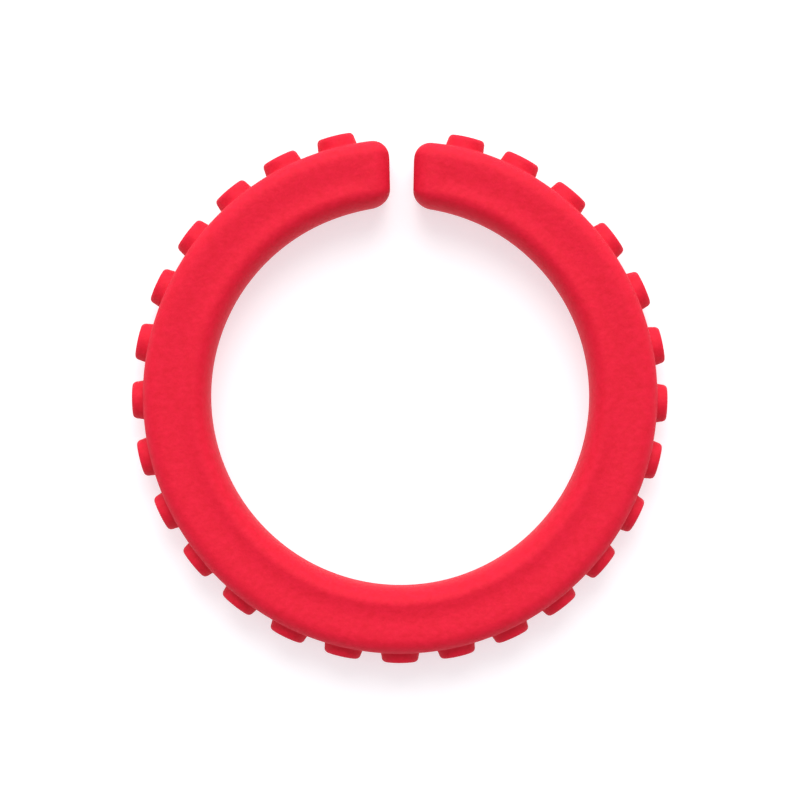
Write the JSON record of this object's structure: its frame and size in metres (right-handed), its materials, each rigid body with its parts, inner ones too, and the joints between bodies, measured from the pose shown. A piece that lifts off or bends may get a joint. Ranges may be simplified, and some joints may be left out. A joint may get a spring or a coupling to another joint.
{
  "type": "chewable bangle teether",
  "caption": "Open C-shaped chewable bangle of soft elastomer for teething: a rounded band with round studs around its rim and a narrow gap that flexes open for the wrist.",
  "frame": {"origin": "on the band's own axis, in the plane of the face that it lies on", "axes": "+Z along the band's axis, up from the resting face; +Y from the back of the band towards its gap; +X towards the right arm"},
  "size_m": [0.0846, 0.0839, 0.012],
  "materials": {
    "red_elastomer": "matte"
  },
  "bodies": {
    "back": {"band_back": "red_elastomer", "stud_back": "red_elastomer"},
    "right_01": {"band_right_01": "red_elastomer", "stud_right_01": "red_elastomer"},
    "right_02": {"band_right_02": "red_elastomer", "stud_right_02": "red_elastomer"},
    "right_03": {"band_right_03": "red_elastomer", "stud_right_03": "red_elastomer"},
    "right_04": {"band_right_04": "red_elastomer", "stud_right_04": "red_elastomer"},
    "right_05": {"band_right_05": "red_elastomer", "stud_right_05": "red_elastomer"},
    "right_06": {"band_right_06": "red_elastomer", "stud_right_06": "red_elastomer"},
    "right_07": {"band_right_07": "red_elastomer", "stud_right_07": "red_elastomer"},
    "right_08": {"band_right_08": "red_elastomer", "stud_right_08": "red_elastomer"},
    "right_09": {"band_right_09": "red_elastomer", "stud_right_09": "red_elastomer"},
    "right_10": {"band_right_10": "red_elastomer", "stud_right_10": "red_elastomer"},
    "right_11": {"band_right_11": "red_elastomer", "stud_right_11": "red_elastomer"},
    "right_tip": {"band_right_12": "red_elastomer", "stud_right_12": "red_elastomer", "band_right_tip": "red_elastomer", "stud_right_13": "red_elastomer"},
    "left_01": {"band_left_01": "red_elastomer", "stud_left_01": "red_elastomer"},
    "left_02": {"band_left_02": "red_elastomer", "stud_left_02": "red_elastomer"},
    "left_03": {"band_left_03": "red_elastomer", "stud_left_03": "red_elastomer"},
    "left_04": {"band_left_04": "red_elastomer", "stud_left_04": "red_elastomer"},
    "left_05": {"band_left_05": "red_elastomer", "stud_left_05": "red_elastomer"},
    "left_06": {"band_left_06": "red_elastomer", "stud_left_06": "red_elastomer"},
    "left_07": {"band_left_07": "red_elastomer", "stud_left_07": "red_elastomer"},
    "left_08": {"band_left_08": "red_elastomer", "stud_left_08": "red_elastomer"},
    "left_09": {"band_left_09": "red_elastomer", "stud_left_09": "red_elastomer"},
    "left_10": {"band_left_10": "red_elastomer", "stud_left_10": "red_elastomer"},
    "left_11": {"band_left_11": "red_elastomer", "stud_left_11": "red_elastomer"},
    "left_tip": {"band_left_12": "red_elastomer", "stud_left_12": "red_elastomer", "band_left_tip": "red_elastomer", "stud_left_13": "red_elastomer"}
  },
  "joints": [
    {"name": "twist_right", "type": "hinge", "parent": "back", "child": "right_01", "pos_m": [0.00391, -0.03498, 0.006], "axis": [0.9938, 0.111, 0], "range_deg": [0, 10], "stiffness_Nm_per_rad": 0.07},
    {"name": "bend_right_01", "type": "hinge", "parent": "right_01", "child": "right_02", "pos_m": [0.01153, -0.03326, 0.006], "axis": [-0.0016, 0.0047, -1], "range_deg": [-0.29, 3.3], "stiffness_Nm_per_rad": 6.18},
    {"name": "bend_right_02", "type": "hinge", "parent": "right_02", "child": "right_03", "pos_m": [0.01859, -0.02989, 0.006], "axis": [0.0026, -0.0042, -1], "range_deg": [-0.28, 3.14]},
    {"name": "bend_right_03", "type": "hinge", "parent": "right_03", "child": "right_04", "pos_m": [0.02473, -0.02505, 0.006], "axis": [-0.0035, 0.0036, -1], "range_deg": [-0.26, 2.91]},
    {"name": "bend_right_04", "type": "hinge", "parent": "right_04", "child": "right_05", "pos_m": [0.02965, -0.01898, 0.006], "axis": [0.0042, -0.0027, -1], "range_deg": [-0.23, 2.61]},
    {"name": "bend_right_05", "type": "hinge", "parent": "right_05", "child": "right_06", "pos_m": [0.0331, -0.01197, 0.006], "axis": [-0.0047, 0.0017, -1], "range_deg": [-0.2, 2.28]},
    {"name": "bend_right_06", "type": "hinge", "parent": "right_06", "child": "right_07", "pos_m": [0.03493, -0.00437, 0.006], "axis": [0.005, -0.0006, -1], "range_deg": [-0.17, 1.91]},
    {"name": "bend_right_07", "type": "hinge", "parent": "right_07", "child": "right_08", "pos_m": [0.03503, 0.00345, 0.006], "axis": [-0.005, -0.0005, -1], "range_deg": [-0.14, 1.53]},
    {"name": "bend_right_08", "type": "hinge", "parent": "right_08", "child": "right_09", "pos_m": [0.0334, 0.0111, 0.006], "axis": [0.0047, 0.0016, -1], "range_deg": [-0.1, 1.16]},
    {"name": "bend_right_09", "type": "hinge", "parent": "right_09", "child": "right_10", "pos_m": [0.03013, 0.01819, 0.006], "axis": [-0.0043, -0.0026, -1], "range_deg": [-0.074, 0.8217]},
    {"name": "bend_right_10", "type": "hinge", "parent": "right_10", "child": "right_11", "pos_m": [0.02537, 0.0244, 0.006], "axis": [0.0036, 0.0035, -1], "range_deg": [-0.0478, 0.5228]},
    {"name": "bend_right_11", "type": "hinge", "parent": "right_11", "child": "right_tip", "pos_m": [0.01936, 0.0294, 0.006], "axis": [-0.0028, -0.0042, -1], "range_deg": [-0.0266, 0.2818]},
    {"name": "twist_left", "type": "hinge", "parent": "back", "child": "left_01", "pos_m": [-0.00391, -0.03498, 0.006], "axis": [0.9938, -0.111, 0], "range_deg": [0, 10], "stiffness_Nm_per_rad": 0.07},
    {"name": "bend_left_01", "type": "hinge", "parent": "left_01", "child": "left_02", "pos_m": [-0.01153, -0.03326, 0.006], "axis": [0.0016, 0.0047, 1], "range_deg": [-0.29, 3.3]},
    {"name": "bend_left_02", "type": "hinge", "parent": "left_02", "child": "left_03", "pos_m": [-0.01859, -0.02989, 0.006], "axis": [-0.0026, -0.0042, 1], "range_deg": [-0.28, 3.14]},
    {"name": "bend_left_03", "type": "hinge", "parent": "left_03", "child": "left_04", "pos_m": [-0.02473, -0.02505, 0.006], "axis": [0.0035, 0.0036, 1], "range_deg": [-0.26, 2.91]},
    {"name": "bend_left_04", "type": "hinge", "parent": "left_04", "child": "left_05", "pos_m": [-0.02965, -0.01898, 0.006], "axis": [-0.0042, -0.0027, 1], "range_deg": [-0.23, 2.61]},
    {"name": "bend_left_05", "type": "hinge", "parent": "left_05", "child": "left_06", "pos_m": [-0.0331, -0.01197, 0.006], "axis": [0.0047, 0.0017, 1], "range_deg": [-0.2, 2.28]},
    {"name": "bend_left_06", "type": "hinge", "parent": "left_06", "child": "left_07", "pos_m": [-0.03493, -0.00437, 0.006], "axis": [-0.005, -0.0006, 1], "range_deg": [-0.17, 1.91]},
    {"name": "bend_left_07", "type": "hinge", "parent": "left_07", "child": "left_08", "pos_m": [-0.03503, 0.00345, 0.006], "axis": [0.005, -0.0005, 1], "range_deg": [-0.14, 1.53]},
    {"name": "bend_left_08", "type": "hinge", "parent": "left_08", "child": "left_09", "pos_m": [-0.0334, 0.0111, 0.006], "axis": [-0.0047, 0.0016, 1], "range_deg": [-0.1, 1.16]},
    {"name": "bend_left_09", "type": "hinge", "parent": "left_09", "child": "left_10", "pos_m": [-0.03013, 0.01819, 0.006], "axis": [0.0043, -0.0026, 1], "range_deg": [-0.074, 0.8217]},
    {"name": "bend_left_10", "type": "hinge", "parent": "left_10", "child": "left_11", "pos_m": [-0.02537, 0.0244, 0.006], "axis": [-0.0036, 0.0035, 1], "range_deg": [-0.0478, 0.5228]},
    {"name": "bend_left_11", "type": "hinge", "parent": "left_11", "child": "left_tip", "pos_m": [-0.01936, 0.0294, 0.006], "axis": [0.0028, -0.0042, 1], "range_deg": [-0.0266, 0.2818]}
  ],
  "couplings": [
    {"joint": "bend_right_02", "follows": "bend_right_01", "ratio": 0.95084},
    {"joint": "bend_right_03", "follows": "bend_right_01", "ratio": 0.88015},
    {"joint": "bend_right_04", "follows": "bend_right_01", "ratio": 0.79141},
    {"joint": "bend_right_05", "follows": "bend_right_01", "ratio": 0.689},
    {"joint": "bend_right_06", "follows": "bend_right_01", "ratio": 0.57797},
    {"joint": "bend_right_07", "follows": "bend_right_01", "ratio": 0.46379},
    {"joint": "bend_right_08", "follows": "bend_right_01", "ratio": 0.3521},
    {"joint": "bend_right_09", "follows": "bend_right_01", "ratio": 0.2484},
    {"joint": "bend_right_10", "follows": "bend_right_01", "ratio": 0.15781},
    {"joint": "bend_right_11", "follows": "bend_right_01", "ratio": 0.0848},
    {"joint": "bend_left_01", "follows": "bend_right_01", "ratio": 1},
    {"joint": "bend_left_02", "follows": "bend_right_01", "ratio": 0.95084},
    {"joint": "bend_left_03", "follows": "bend_right_01", "ratio": 0.88015},
    {"joint": "bend_left_04", "follows": "bend_right_01", "ratio": 0.79141},
    {"joint": "bend_left_05", "follows": "bend_right_01", "ratio": 0.689},
    {"joint": "bend_left_06", "follows": "bend_right_01", "ratio": 0.57797},
    {"joint": "bend_left_07", "follows": "bend_right_01", "ratio": 0.46379},
    {"joint": "bend_left_08", "follows": "bend_right_01", "ratio": 0.3521},
    {"joint": "bend_left_09", "follows": "bend_right_01", "ratio": 0.2484},
    {"joint": "bend_left_10", "follows": "bend_right_01", "ratio": 0.15781},
    {"joint": "bend_left_11", "follows": "bend_right_01", "ratio": 0.0848}
  ]
}
